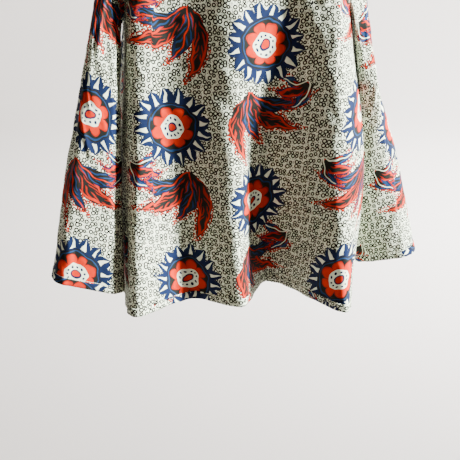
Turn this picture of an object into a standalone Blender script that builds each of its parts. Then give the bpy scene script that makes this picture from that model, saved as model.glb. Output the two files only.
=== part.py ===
"""An A-line cotton blouse with long, slightly flared sleeves, hanging on a plain wooden hanger.

Metres, +Z up. The front faces -Y and +X is to the right of someone who looks at the front.
The origin is the point under the top of the hook where a rail or a nail carries it.
Drops are measured down from the side of the neck. Every cloth piece is drawn flat first, as a
maker would cut it, and then laid over the hanging form that the tables of folds describe.
"""

import math
from collections import namedtuple

import bpy
import numpy as np

# Heights of the garment
NECK_SIDE_Z = -0.120
CHEST_DROP = 0.230
WAIST_DROP = 0.450
HEM_DROP = 0.675

# Flat cut of front and back
NECK_HALF = 0.090
FRONT_NECK_DROP = 0.090
BACK_NECK_DROP = 0.028
SHOULDER_HALF = 0.175
SHOULDER_DROP = 0.040
CHEST_HALF = 0.223
HEM_HALF = 0.323
FRONT_ARMHOLE_HALF = 0.158
BACK_ARMHOLE_HALF = 0.162
ARMHOLE_UPPER_DROP = 0.110
ARMHOLE_LOWER_DROP = 0.204
NECK_ROUND = 2.2

# Cloth and sewing
WALL = 0.0015
SEAM_GAP = 0.0003
ARM_ROLL = 0.0085

# Hanger
BAR_HALF_SPAN = 0.168
BAR_HALF_THICK = 0.0058
BAR_DEEP = 0.024
BAR_TIP_DEEP = 0.016
BAR_CLEAR = 0.0005
WIRE_R = 0.0018
HOOK_R = 0.0200

FRONT = -1.0
BACK = 1.0

# Lines that run down the cloth along crests and valleys, in order round the body from the left side
# seam, with the place of each at chest, waist and hem, and how far the hem is lifted on it.
Fold = namedtuple("Fold", "name chest_x chest_y waist_x waist_y hem_x hem_y hem_lift")
BODY_FOLDS = (
    Fold("left seam", -0.167, 0.010, -0.184, 0.008, -0.182, 0.006, 0.000),
    Fold("left corner", -0.146, -0.053, -0.150, -0.068, -0.156, -0.096, 0.000),
    Fold("left valley", -0.075, -0.049, -0.080, -0.044, -0.062, -0.030, 0.004),
    Fold("middle crest", -0.006, -0.068, -0.004, -0.060, 0.010, -0.060, 0.002),
    Fold("deep valley", 0.063, -0.0475, 0.048, -0.014, 0.053, 0.030, 0.010),
    Fold("right corner", 0.157, -0.058, 0.172, -0.062, 0.180, -0.078, 0.001),
    Fold("right seam", 0.177, -0.004, 0.204, -0.014, 0.193, -0.004, 0.000),
    Fold("right back corner", 0.146, 0.046, 0.156, 0.062, 0.166, 0.084, 0.002),
    Fold("right back valley", 0.078, 0.054, 0.086, 0.054, 0.092, 0.066, 0.006),
    Fold("middle back crest", 0.006, 0.056, 0.002, 0.072, -0.006, 0.098, 0.000),
    Fold("left back valley", -0.072, 0.052, -0.086, 0.046, -0.090, 0.046, 0.006),
    Fold("left back corner", -0.168, 0.054, -0.195, 0.070, -0.198, 0.088, 0.000),
)
FRONT_SPANS = 6

# Rings round a sleeve: drop and place of the ring's middle, half its width and depth, the lean of
# the sleeve from upright there, and how far it is turned about that line, outer edge forward.
Ring = namedtuple("Ring", "name drop x y half_width half_depth lean_deg turned_deg")
SLEEVE_RINGS = {
    "sleeve_left": (
        Ring("upper arm", 0.275, -0.1955, -0.026, 0.0255, 0.035, 13.0, 6.0),
        Ring("elbow", 0.450, -0.2150, -0.042, 0.0418, 0.031, 12.0, 12.0),
        Ring("cuff", 0.632, -0.2304, -0.060, 0.0585, 0.030, 15.0, 10.0),
    ),
    "sleeve_right": (
        Ring("upper arm", 0.305, 0.2040, 0.026, 0.0165, 0.042, 12.0, 0.0),
        Ring("elbow", 0.445, 0.2310, 0.047, 0.0328, 0.036, 13.0, 13.0),
        Ring("cuff", 0.622, 0.2560, 0.052, 0.0534, 0.034, 12.5, 20.0),
    ),
}
SLEEVE_BOX = 3.3

# How firmly a sleeve's cloth sets out in the direction in which it leaves the armhole
LEAVE_AT_TIP = 0.12
LEAVE_AT_UNDERARM = 0.40

# Soft folds down a sleeve: place round it in degrees from its outer edge by way of the front,
# width in degrees, and depth at elbow and cuff, inward.
SleeveFold = namedtuple("SleeveFold", "name at_deg width_deg elbow cuff")
SLEEVE_FOLDS = (
    SleeveFold("front hollow", 78.0, 26.0, 0.0030, 0.0045),
    SleeveFold("inner hollow", 150.0, 22.0, 0.0040, 0.0050),
    SleeveFold("back hollow", 262.0, 30.0, 0.0050, 0.0065),
)

# Divisions of the cloth: steps over half the neck, a shoulder, an armhole and a side seam, and the
# rows where the cloth turns over the hanger, as angles of that turn
NECK_STEPS = 8
SHOULDER_STEPS = 9
ARMHOLE_STEPS = 11
SIDE_STEPS = 15
ROLL_ROWS_DEG = (0.0, 30.0, 60.0)
NECK_ROLL_DEG = (80.0, 55.0, 30.0, 0.0)
SKIPPED_ROLL_ROWS = (1,)
SLEEVE_ROWS = 20
SLEEVE_TOP_ROWS = (0.0, 0.010, 0.025, 0.050, 0.085)


def smooth(x):
    """0 up to 0, 1 from 1 on, and an even rise between."""
    x = np.clip(x, 0.0, 1.0)
    return x * x * (3.0 - 2.0 * x)


def through(knots, values, at, start_slope=None):
    """A smooth curve through values[k] at knots[k], read at each place: cubic spans whose slope at
    a knot is the slope of the parabola through it and its two neighbours."""
    knots = np.asarray(knots, float)
    at = np.asarray(at, float)
    values = np.broadcast_to(values, (len(knots),) + at.shape)
    steps = np.diff(knots).reshape((-1,) + (1,) * at.ndim)
    rises = np.diff(values, axis=0) / steps
    slope = np.empty_like(values)
    slope[1:-1] = (steps[1:] * rises[:-1] + steps[:-1] * rises[1:]) / (steps[1:] + steps[:-1])
    slope[0] = rises[0] if start_slope is None else start_slope
    slope[-1] = rises[-1]
    span = np.clip(np.searchsorted(knots, at, side="right") - 1, 0, len(knots) - 2)
    length = np.diff(knots)[span]
    u = (at - knots[span]) / length

    def pick(table, k):
        return np.take_along_axis(table, k[None], axis=0)[0]

    return (
        (1 + 2 * u) * (1 - u) ** 2 * pick(values, span)
        + u * (1 - u) ** 2 * length * pick(slope, span)
        + u * u * (3 - 2 * u) * pick(values, span + 1)
        + u * u * (u - 1) * length * pick(slope, span + 1)
    )


def half_width(drop):
    """Half the flat width of the A-line panels at a drop, carried on straight above the chest."""
    return CHEST_HALF + (HEM_HALF - CHEST_HALF) * (drop - CHEST_DROP) / (HEM_DROP - CHEST_DROP)


def shoulder_drop(across):
    """Drop of the shoulder line, carried on straight past neck and tip."""
    return SHOULDER_DROP * (np.abs(across) - NECK_HALF) / (SHOULDER_HALF - NECK_HALF)


def fold_stations():
    """Place of each fold line round the body, by its distance along the hem: the front runs from
    -1 at the left seam to 1 at the right seam, and the back on from 1 to 3."""
    hem = np.array([(f.hem_x, f.hem_y) for f in BODY_FOLDS])
    steps = np.linalg.norm(np.roll(hem, -1, axis=0) - hem, axis=1)
    front = np.cumsum(steps[:FRONT_SPANS]) / steps[:FRONT_SPANS].sum()
    back = np.cumsum(steps[FRONT_SPANS:]) / steps[FRONT_SPANS:].sum()
    return np.concatenate([[-1.0], 2 * front - 1, 2 * back[:-1] + 1])


def body_point(across, drop, side):
    """Place in space of a point of the flat front or back, given by its distance from the middle
    line and its drop. The folds open from the shoulders down, and the cloth rolls over the arm."""
    share = across / half_width(drop)
    stations = fold_stations()
    place = share if side == FRONT else 2.0 - share
    top = shoulder_drop(across)
    below = np.maximum(drop - top, 0.0)
    level = below + top * smooth(below / (CHEST_DROP - top))
    levels = (0.0, CHEST_DROP, WAIST_DROP, HEM_DROP)
    flat_top = half_width(SHOULDER_DROP / 2) * np.where(stations <= 1, stations, 2 - stations)
    columns = []
    for f, x0 in zip(BODY_FOLDS, flat_top):
        xs = np.array([x0, f.chest_x, f.waist_x, f.hem_x]).reshape((-1,) + (1,) * level.ndim)
        ys = np.array([0.0, f.chest_y, f.waist_y, f.hem_y]).reshape(xs.shape)
        columns.append((through(levels, xs, level), through(levels, ys, level)))
    lift = np.array([f.hem_lift for f in BODY_FOLDS])
    around = np.concatenate([stations[-2:] - 4, stations, stations[:3] + 4])
    order = np.concatenate([[-2, -1], np.arange(len(stations)), [0, 1, 2]])
    x = through(around, np.array([columns[k][0] for k in order]), place)
    y = through(around, np.array([columns[k][1] for k in order]), place)
    rise = lift[order].reshape((-1,) + (1,) * level.ndim)
    z = through(around, rise, place) * smooth((drop - CHEST_DROP) / (HEM_DROP - CHEST_DROP))
    near = np.clip(below / ARM_ROLL, 0.0, 1.0)
    roll = ARM_ROLL * np.sqrt(1 - (1 - near) ** 2) * (1 - smooth(drop / CHEST_DROP))
    return np.stack([x, y + side * (roll + SEAM_GAP / 2), NECK_SIDE_Z - drop + z], axis=-1)


def armhole_curve(u, half, deep=0.0):
    """Flat armhole from the shoulder tip (u 0) to the underarm (u 1), a cubic curve, and its
    outward direction."""
    p = np.array([
        (SHOULDER_HALF, SHOULDER_DROP),
        (half, ARMHOLE_UPPER_DROP),
        (half, ARMHOLE_LOWER_DROP),
        (CHEST_HALF, CHEST_DROP),
    ])
    u = np.asarray(u)[:, None]
    point = (1 - u) ** 3 * p[0] + 3 * u * (1 - u) ** 2 * p[1] + 3 * u * u * (1 - u) * p[2] + u**3 * p[3]
    turn = (1 - u) ** 2 * (p[1] - p[0]) + 2 * u * (1 - u) * (p[2] - p[1]) + u * u * (p[3] - p[2])
    turn = turn / np.linalg.norm(turn, axis=1, keepdims=True)
    outward = np.stack([turn[:, 1], -turn[:, 0]], axis=1)
    return point + deep * outward, outward


def top_edge(neck_drop):
    """Neck and shoulder of the right half: across as a share of half the panel, and drop."""
    rolled = ARM_ROLL * (1 - np.cos(np.radians(NECK_ROLL_DEG)))
    sides = (1 - rolled / neck_drop) ** (1 / NECK_ROUND)
    neck = np.concatenate([np.linspace(0, sides[0], NECK_STEPS + 1), sides[1:]])
    drop = neck_drop * (1 - neck**NECK_ROUND)
    shoulder = np.linspace(NECK_HALF, SHOULDER_HALF, SHOULDER_STEPS + 1)[1:]
    share = np.concatenate([neck * NECK_HALF, shoulder]) / SHOULDER_HALF
    return share, np.concatenate([drop, shoulder_drop(shoulder)])


def armhole_rows(armhole_half):
    """Places along the armhole where the panel's rows and the sleeve's columns meet: the turn over
    the hanger first, and then even steps."""
    rolled = SHOULDER_DROP + ARM_ROLL * (1 - np.cos(np.radians(ROLL_ROWS_DEG)))
    fine = np.linspace(0, 1, 2001)
    curve = armhole_curve(fine, armhole_half)[0]
    first = np.interp(rolled, curve[:, 1], fine)
    reach = np.concatenate([[0], np.cumsum(np.linalg.norm(np.diff(curve, axis=0), axis=1))])
    begin = np.interp(first[-1], fine, reach)
    even = np.interp(np.linspace(begin, reach[-1], ARMHOLE_STEPS + 1)[1:], reach, fine)
    return np.concatenate([first, even])


def flat_panel(neck_drop, armhole_half):
    """Grid of flat points of a whole panel. Its columns keep their share of the width, and its
    rows follow the neck and shoulders at the top and lie level from below the chest."""
    share, top = top_edge(neck_drop)
    share = np.concatenate([-share[:0:-1], share])[:, None]
    top = np.concatenate([top[:0:-1], top])[:, None]
    armhole = armhole_curve(armhole_rows(armhole_half), armhole_half)[0]
    seam = np.linspace(CHEST_DROP, HEM_DROP, SIDE_STEPS + 1)[1:]
    edge = np.concatenate([armhole[:, 0], half_width(seam)]) - SEAM_GAP / 2
    level = np.concatenate([armhole[:, 1], seam])
    straight = SHOULDER_HALF + (HEM_HALF - SHOULDER_HALF) * (level - SHOULDER_DROP) / (
        HEM_DROP - SHOULDER_DROP
    )
    across = share * straight + share**3 * (edge - straight)
    fade = 1 - smooth((level - SHOULDER_DROP) / (CHEST_DROP + 0.05 - SHOULDER_DROP))
    on_neck = smooth((NECK_HALF / SHOULDER_HALF - np.abs(share)) * 5)
    count = len(ROLL_ROWS_DEG)
    eased = level.copy()
    eased[:count + 1] = np.linspace(level[0], level[count], count + 1)
    drop = level + (eased - level) * on_neck + (top - SHOULDER_DROP) * fade
    return np.stack([across, drop], axis=-1)


def armhole_loop(sign):
    """Loop where a sleeve starts, once round from the tip by way of the front, a seam's gap out from
    the panels, the direction in which the sleeve's cloth leaves it, and the turn round the sleeve:
    on with the panel's cloth at the tip, and straight out from the body at the underarm."""
    loops = []
    for side, hollow in ((FRONT, FRONT_ARMHOLE_HALF), (BACK, BACK_ARMHOLE_HALF)):
        u = np.delete(armhole_rows(hollow), SKIPPED_ROLL_ROWS)
        fold = math.pi / 2 * smooth((u - 0.35) / 0.6)[:, None]
        flat, out = armhole_curve(u, hollow)
        along = np.stack([-out[:, 1], out[:, 0]], axis=1)
        edge, on, down = (
            body_point(sign * f[:, 0], f[:, 1], side)
            for f in (flat, flat + 0.001 * out, flat + 0.001 * along)
        )
        run = on - edge
        run[:, 1] *= smooth(4 * u)
        run /= np.linalg.norm(run, axis=1, keepdims=True)
        facing = np.cross(run, down - edge) * side * sign
        facing /= np.linalg.norm(facing, axis=1, keepdims=True)
        reach = np.concatenate([[0], np.cumsum(np.linalg.norm(np.diff(flat, axis=0), axis=1))])
        loops.append((
            edge + run * (SEAM_GAP + WALL / 2 * np.sin(fold)),
            run * np.cos(fold) + facing * np.sin(fold),
            math.pi * reach / reach[-1],
        ))
    (front, front_run, front_turn), (back, back_run, back_turn) = loops
    start = np.concatenate([front, back[-2:0:-1]])
    run = np.concatenate([front_run, back_run[-2:0:-1]])
    for k, mate in ((0, 0), (len(front) - 1, -1)):
        start[k] = (front[mate] + back[mate]) / 2
        run[k] = front_run[mate] + back_run[mate]
        run[k] /= np.linalg.norm(run[k])
    return start, run, np.concatenate([front_turn, 2 * math.pi - back_turn[-2:0:-1]])


def sleeve_ring(ring, sign, cuff_share, turn):
    """One ring of a sleeve: a rounded box across the arm, hollowed by the sleeve's folds. turn is
    0 at the outer edge and a quarter turn at the front."""
    c, s = np.cos(turn), np.sin(turn)
    power = 2 / SLEEVE_BOX
    wide = ring.half_width * np.sign(c) * np.abs(c) ** power
    deep = ring.half_depth * np.sign(s) * np.abs(s) ** power
    for f in SLEEVE_FOLDS:
        away = (np.degrees(turn) - f.at_deg + 180) % 360 - 180
        depth = (f.elbow + (f.cuff - f.elbow) * cuff_share) * np.exp(-((away / f.width_deg) ** 2))
        depth = depth * smooth(1 + 1.5 * cuff_share)
        wide = wide - depth * c
        deep = deep - depth * s
    lean, turned = math.radians(ring.lean_deg), math.radians(ring.turned_deg)
    out = wide * math.cos(turned) - deep * math.sin(turned)
    ahead = deep * math.cos(turned) + wide * math.sin(turned)
    x = ring.x + sign * out * math.cos(lean)
    z = NECK_SIDE_Z - ring.drop + out * math.sin(lean)
    return np.stack([x, ring.y - ahead, z], axis=1)


def sleeve_grid(name, sign):
    """Grid of a sleeve: columns that leave the armhole along the body's cloth and run down through
    the rings to the cuff."""
    start, run, turn = armhole_loop(sign)
    push = LEAVE_AT_TIP + (LEAVE_AT_UNDERARM - LEAVE_AT_TIP) * np.sin(turn / 2)
    rings = SLEEVE_RINGS[name]
    stops = [start] + [sleeve_ring(r, sign, share, turn) for r, share in zip(rings, (-0.6, 0.0, 1.0))]
    steps = [np.linalg.norm(b - a, axis=1) for a, b in zip(stops, stops[1:])]
    reach = np.concatenate([[np.zeros(len(turn))], np.cumsum(steps, axis=0)])
    rest = np.linspace(SLEEVE_TOP_ROWS[-1], 1, SLEEVE_ROWS - len(SLEEVE_TOP_ROWS) + 2)[1:]
    down = np.concatenate([SLEEVE_TOP_ROWS, rest])
    grid = np.empty((len(turn), len(down), 3))
    for k in range(len(turn)):
        values = np.array([s[k] for s in stops])
        for axis in range(3):
            grid[k, :, axis] = through(
                reach[:, k], values[:, axis, None], down * reach[-1, k], push[k] * run[k, axis]
            )
    return grid


def material(name, colour, roughness, metallic=0.0):
    """A Principled material of one colour."""
    made = bpy.data.materials.new(name)
    made.use_nodes = True
    shader = made.node_tree.nodes["Principled BSDF"]
    shader.inputs["Base Color"].default_value = (*colour, 1.0)
    shader.inputs["Roughness"].default_value = roughness
    shader.inputs["Metallic"].default_value = metallic
    return made


def grid_object(name, grid, around=False, outward=True):
    """Mesh object of a grid of points, joined round where it is a tube."""
    columns, rows = grid.shape[:2]
    index = np.arange(columns * rows).reshape(columns, rows)
    if around:
        index = np.concatenate([index, index[:1]])
    faces = np.stack([index[:-1, :-1], index[:-1, 1:], index[1:, 1:], index[1:, :-1]], axis=-1)
    faces = faces.reshape(-1, 4)
    if not outward:
        faces = faces[:, ::-1]
    mesh = bpy.data.meshes.new(name)
    mesh.from_pydata(grid.reshape(-1, 3).tolist(), [], faces.tolist())
    mesh.shade_smooth()
    made = bpy.data.objects.new(name, mesh)
    bpy.context.scene.collection.objects.link(made)
    return made


def cloth_wall(made, cloth):
    """Gives a cloth surface its thickness, half to each side."""
    wall = made.modifiers.new("Cloth wall", "SOLIDIFY")
    wall.thickness = WALL
    wall.offset = 0.0
    made.data.materials.append(cloth)
    return made


def add_panels(cloth):
    """Front and back."""
    for name, side, neck_drop, armhole in (
        ("front", FRONT, FRONT_NECK_DROP, FRONT_ARMHOLE_HALF),
        ("back", BACK, BACK_NECK_DROP, BACK_ARMHOLE_HALF),
    ):
        flat = flat_panel(neck_drop, armhole)
        grid = body_point(flat[..., 0], flat[..., 1], side)
        cloth_wall(grid_object(name, grid, outward=side == FRONT), cloth)


def add_sleeves(cloth):
    """Both sleeves."""
    for name, sign in (("sleeve_left", -1.0), ("sleeve_right", 1.0)):
        cloth_wall(grid_object(name, sleeve_grid(name, sign), around=True, outward=sign < 0), cloth)


def add_hanger(wood, steel):
    """A plain shoulder bar and a bent wire hook that stands in its middle."""
    count = 28
    x = np.linspace(-BAR_HALF_SPAN, BAR_HALF_SPAN, count + 1)
    soft = np.sqrt(x * x + 0.02**2)
    cloth_under = WALL / 2 + BAR_CLEAR
    top = NECK_SIDE_Z - shoulder_drop(soft) - cloth_under
    deep = BAR_DEEP + (BAR_TIP_DEEP - BAR_DEEP) * np.abs(x) / BAR_HALF_SPAN
    turn = np.arange(16) * 2 * math.pi / 16
    end = np.clip((BAR_HALF_SPAN - np.abs(x)) / BAR_TIP_DEEP, 0, 1)
    size = np.sqrt(np.clip(1 - (1 - end) ** 2, 0.12, 1))
    across = BAR_HALF_THICK * np.cos(turn)[None] * size[:, None]
    rise = BAR_HALF_THICK * np.sin(turn)[None]
    straight = (deep / 2 - BAR_HALF_THICK)[:, None] * np.sign(np.round(np.sin(turn), 6))[None]
    z = (top - deep / 2)[:, None] + (rise + straight) * size[:, None]
    ring = np.stack([np.broadcast_to(x[:, None], z.shape), across, z], axis=-1)
    bar = grid_object("hanger_bar", np.swapaxes(ring, 0, 1), around=True, outward=False)
    ends = [list(range(0, 16 * (count + 1), count + 1)), list(range(count, 16 * (count + 1), count + 1))]
    verts = [tuple(v.co) for v in bar.data.vertices]
    faces = [tuple(p.vertices) for p in bar.data.polygons] + [tuple(ends[0][::-1]), tuple(ends[1])]
    bar.data.clear_geometry()
    bar.data.from_pydata(verts, [], faces)
    bar.data.materials.append(wood)
    bar_top = NECK_SIDE_Z - shoulder_drop(np.sqrt(0.02**2)) - cloth_under

    middle = WIRE_R - HOOK_R
    turns = np.radians(np.linspace(195, -52, 26))
    arc = np.stack([HOOK_R * np.cos(turns), middle + HOOK_R * np.sin(turns)], axis=1)
    neck_top = middle - HOOK_R - 0.014
    leave = np.array([math.sin(turns[-1]), -math.cos(turns[-1])])
    u = np.linspace(0, 1, 9)[1:, None]
    p0, p3 = arc[-1], np.array([0.0, neck_top])
    p1, p2 = p0 + 0.011 * leave, p3 + (0.0, 0.009)
    bend = (1 - u) ** 3 * p0 + 3 * u * (1 - u) ** 2 * p1 + 3 * u * u * (1 - u) * p2 + u**3 * p3
    foot = np.array([[0.0, bar_top + SEAM_GAP]])
    route = np.concatenate([arc, bend, foot])
    wire = bpy.data.curves.new("hanger_hook", "CURVE")
    wire.dimensions = "3D"
    wire.bevel_depth = WIRE_R
    wire.bevel_resolution = 2
    wire.use_fill_caps = True
    line = wire.splines.new("POLY")
    line.points.add(len(route) - 1)
    for point, (px, pz) in zip(line.points, route):
        point.co = (px, 0.0, pz, 1.0)
    hook = bpy.data.objects.new("hanger_hook", wire)
    hook.data.materials.append(steel)
    bpy.context.scene.collection.objects.link(hook)


def main():
    for old in list(bpy.data.objects):
        bpy.data.objects.remove(old)
    cloth = material("printed_cotton", (0.42, 0.38, 0.28), 0.8)
    wood = material("varnished_beech", (0.50, 0.32, 0.17), 0.45)
    steel = material("plated_wire", (0.62, 0.62, 0.63), 0.25, 1.0)
    add_panels(cloth)
    add_sleeves(cloth)
    add_hanger(wood, steel)


main()
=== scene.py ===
"""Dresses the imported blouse: finely creased cotton with a printed ground, turned hems, a wooden
hanger and a plain pale studio. Metres, +Z up, the front faces -Y.

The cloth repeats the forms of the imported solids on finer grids. Front and back are drawn flat
first, as a maker would cut them, and then laid over the hanging form that the table of folds
describes. The sleeves leave the armholes along the body's cloth and run down through rings.
"""

import math
from collections import namedtuple

import bpy
import numpy as np
from bpy.props import FloatProperty, FloatVectorProperty, PointerProperty
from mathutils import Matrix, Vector


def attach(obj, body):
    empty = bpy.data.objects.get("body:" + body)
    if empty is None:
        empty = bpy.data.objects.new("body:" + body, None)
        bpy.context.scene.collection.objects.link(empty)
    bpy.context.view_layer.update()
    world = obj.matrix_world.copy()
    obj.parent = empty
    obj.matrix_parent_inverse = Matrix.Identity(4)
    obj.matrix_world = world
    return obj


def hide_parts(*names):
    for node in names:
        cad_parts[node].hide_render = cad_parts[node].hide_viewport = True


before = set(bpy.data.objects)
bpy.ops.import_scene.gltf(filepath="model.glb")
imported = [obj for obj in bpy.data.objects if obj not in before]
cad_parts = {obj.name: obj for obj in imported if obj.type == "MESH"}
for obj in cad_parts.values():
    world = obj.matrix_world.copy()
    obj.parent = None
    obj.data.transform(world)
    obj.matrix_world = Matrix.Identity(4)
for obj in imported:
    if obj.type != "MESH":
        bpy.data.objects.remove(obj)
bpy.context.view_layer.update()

bl_info = {
    "name": "Printed blouse on a hanger",
    "version": (1, 0, 0),
    "blender": (4, 5, 0),
    "location": "View3D > Sidebar > Blouse",
    "description": "Cloth, print, hanger finishes and studio for the packed blouse",
    "category": "Object",
}

# Heights of the garment
NECK_SIDE_Z = -0.120
CHEST_DROP = 0.230
WAIST_DROP = 0.450
HEM_DROP = 0.675

# Flat cut of front and back: widths from the middle line and drops from the side of the neck. The
# grid's rows lie level from LEVEL_DROP on.
NECK_HALF = 0.090
FRONT_NECK_DROP = 0.090
BACK_NECK_DROP = 0.028
SHOULDER_HALF = 0.175
SHOULDER_DROP = 0.040
CHEST_HALF = 0.223
HEM_HALF = 0.323
FRONT_ARMHOLE_HALF = 0.158
BACK_ARMHOLE_HALF = 0.162
ARMHOLE_UPPER_DROP = 0.110
ARMHOLE_LOWER_DROP = 0.204
NECK_ROUND = 2.2
LEVEL_DROP = CHEST_DROP + 0.05

# Cloth and sewing: the roll over the hanger's arm, the gap under a turned edge, the bulge of its
# turn as a share of a row, and the shift of the print on the strip inside the neck
SOLID_WALL = 0.0015
SEAM_GAP = 0.0003
ARM_ROLL = 0.0085
TURN_GAP = 0.0009
TURN_BULGE = 0.12
STRIP_SHIFT = (0.05, 0.09)

FRONT = -1.0
BACK = 1.0

# Lines that run down the cloth along crests and valleys, in order round the body from the left side
# seam, with the place of each at chest, waist and hem, and how far the hem is lifted on it.
Fold = namedtuple("Fold", "name chest_x chest_y waist_x waist_y hem_x hem_y hem_lift")
BODY_FOLDS = (
    Fold("left seam", -0.167, 0.010, -0.184, 0.008, -0.182, 0.006, 0.000),
    Fold("left corner", -0.146, -0.053, -0.150, -0.068, -0.156, -0.096, 0.000),
    Fold("left valley", -0.075, -0.049, -0.080, -0.044, -0.062, -0.030, 0.004),
    Fold("middle crest", -0.006, -0.068, -0.004, -0.060, 0.010, -0.060, 0.002),
    Fold("deep valley", 0.063, -0.0475, 0.048, -0.014, 0.053, 0.030, 0.010),
    Fold("right corner", 0.157, -0.058, 0.172, -0.062, 0.180, -0.078, 0.001),
    Fold("right seam", 0.177, -0.004, 0.204, -0.014, 0.193, -0.004, 0.000),
    Fold("right back corner", 0.146, 0.046, 0.156, 0.062, 0.166, 0.084, 0.002),
    Fold("right back valley", 0.078, 0.054, 0.086, 0.054, 0.092, 0.066, 0.006),
    Fold("middle back crest", 0.006, 0.056, 0.002, 0.072, -0.006, 0.098, 0.000),
    Fold("left back valley", -0.072, 0.052, -0.086, 0.046, -0.090, 0.046, 0.006),
    Fold("left back corner", -0.168, 0.054, -0.195, 0.070, -0.198, 0.088, 0.000),
)
FRONT_SPANS = 6

# Rings round a sleeve: drop and place of the ring's middle, half its width and depth, the lean of
# the sleeve from upright there, and how far it is turned about that line, outer edge forward.
Ring = namedtuple("Ring", "name drop x y half_width half_depth lean_deg turned_deg")
SLEEVE_RINGS = {
    "sleeve_left": (
        Ring("upper arm", 0.275, -0.1955, -0.026, 0.0255, 0.035, 13.0, 6.0),
        Ring("elbow", 0.450, -0.2150, -0.042, 0.0418, 0.031, 12.0, 12.0),
        Ring("cuff", 0.632, -0.2304, -0.060, 0.0585, 0.030, 15.0, 10.0),
    ),
    "sleeve_right": (
        Ring("upper arm", 0.305, 0.2040, 0.026, 0.0165, 0.042, 12.0, 0.0),
        Ring("elbow", 0.445, 0.2310, 0.047, 0.0328, 0.036, 13.0, 13.0),
        Ring("cuff", 0.622, 0.2560, 0.052, 0.0534, 0.034, 12.5, 20.0),
    ),
}

# Squareness of a ring, how strongly a sleeve keeps the direction in which it leaves the armhole,
# where that direction starts to turn away from the panel, and the step that measures directions
SLEEVE_BOX = 3.3
LEAVE_AT_TIP = 0.12
LEAVE_AT_UNDERARM = 0.40
TURN_FROM = 0.35
TURN_OVER = 0.60
PROBE = 0.001

# Soft folds down a sleeve: place round it in degrees from its outer edge by way of the front,
# width in degrees, and depth at elbow and cuff, inward. FOLD_SHARES says where between these two
# depths each ring stands.
FOLD_SHARES = (-0.6, 0.0, 1.0)
SleeveFold = namedtuple("SleeveFold", "name at_deg width_deg elbow cuff")
SLEEVE_FOLDS = (
    SleeveFold("front hollow", 78.0, 26.0, 0.0030, 0.0045),
    SleeveFold("inner hollow", 150.0, 22.0, 0.0040, 0.0050),
    SleeveFold("back hollow", 262.0, 30.0, 0.0050, 0.0065),
)

# Creases on the flat cloth: two ends (across, down), half width and height, outward positive.
# On panels across is measured from the middle and down from the side of the neck. On sleeves across
# runs round from the outer edge by way of the front, and down from the armhole.
Crease = namedtuple("Crease", "x0 v0 x1 v1 wide high")
CREASES = {
    "front": (
        (-0.232, 0.440, -0.262, 0.690, 0.013, 0.0040),
        (0.262, 0.430, 0.284, 0.690, 0.013, 0.0040),
        (0.050, 0.300, 0.076, 0.690, 0.006, -0.0028),
        (0.074, 0.330, 0.097, 0.690, 0.010, 0.0020),
        (0.022, 0.300, 0.042, 0.690, 0.014, 0.0050),
        (-0.026, 0.330, -0.012, 0.690, 0.016, -0.0036),
        (0.138, 0.120, 0.168, 0.250, 0.007, -0.0022),
        (0.128, 0.110, 0.150, 0.300, 0.010, 0.0018),
        (-0.135, 0.130, -0.165, 0.300, 0.009, -0.0018),
        (-0.060, 0.150, -0.090, 0.430, 0.014, -0.0020),
        (-0.120, 0.380, -0.150, 0.640, 0.012, 0.0014),
        (-0.020, 0.420, 0.004, 0.660, 0.013, 0.0016),
        (0.170, 0.360, 0.205, 0.660, 0.016, -0.0022),
        (0.110, 0.200, 0.140, 0.420, 0.014, 0.0014),
        (0.018, 0.110, 0.040, 0.340, 0.015, 0.0014),
    ),
    "back": (
        (-0.120, 0.070, -0.145, 0.330, 0.012, -0.0020),
        (0.125, 0.080, 0.158, 0.310, 0.011, -0.0020),
        (-0.030, 0.180, -0.048, 0.520, 0.015, 0.0020),
        (0.052, 0.160, 0.070, 0.460, 0.014, -0.0016),
        (-0.170, 0.380, -0.205, 0.680, 0.014, 0.0022),
        (0.190, 0.400, 0.230, 0.680, 0.013, 0.0020),
        (0.010, 0.400, 0.014, 0.680, 0.012, -0.0016),
        (-0.085, 0.460, -0.100, 0.680, 0.010, 0.0014),
    ),
    "sleeve_left": (
        (0.015, 0.060, 0.018, 0.640, 0.013, 0.0048),
        (0.100, 0.060, 0.114, 0.280, 0.014, 0.0018),
        (0.060, 0.020, 0.100, 0.180, 0.008, -0.0020),
        (0.120, 0.060, 0.060, 0.240, 0.008, 0.0016),
        (0.030, 0.260, 0.120, 0.360, 0.007, -0.0014),
        (0.110, 0.330, 0.050, 0.430, 0.007, 0.0012),
        (0.045, 0.420, 0.030, 0.600, 0.006, -0.0014),
        (0.090, 0.430, 0.105, 0.600, 0.009, 0.0012),
        (0.250, 0.100, 0.230, 0.420, 0.012, -0.0020),
        (0.300, 0.300, 0.310, 0.590, 0.012, 0.0020),
    ),
    "sleeve_right": (
        (0.022, 0.160, 0.026, 0.640, 0.020, 0.0070),
        (0.050, 0.010, 0.090, 0.150, 0.007, -0.0022),
        (0.100, 0.030, 0.050, 0.190, 0.008, 0.0018),
        (0.040, 0.200, 0.090, 0.250, 0.007, -0.0016),
        (0.110, 0.270, 0.060, 0.370, 0.008, 0.0014),
        (0.080, 0.360, 0.095, 0.580, 0.008, -0.0016),
        (0.240, 0.100, 0.220, 0.420, 0.012, -0.0020),
        (0.290, 0.300, 0.300, 0.570, 0.012, 0.0020),
    ),
}

# Share of a crease over which it fades in or out, where it ends, and how far and fast it sways
CREASE_FADE = 0.3
CREASE_END = 1.04
CREASE_SWAY = 0.25
CREASE_SWING = 9.0

# Slow unevenness of worn cotton: length of the waves down and across, their height and drift
RIPPLE_LENGTHS = ((0.210, 0.055), (0.130, 0.037), (0.085, 0.061), (0.060, 0.029))
RIPPLE_HEIGHT = 0.00055
RIPPLE_DRIFT = 0.010

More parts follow.
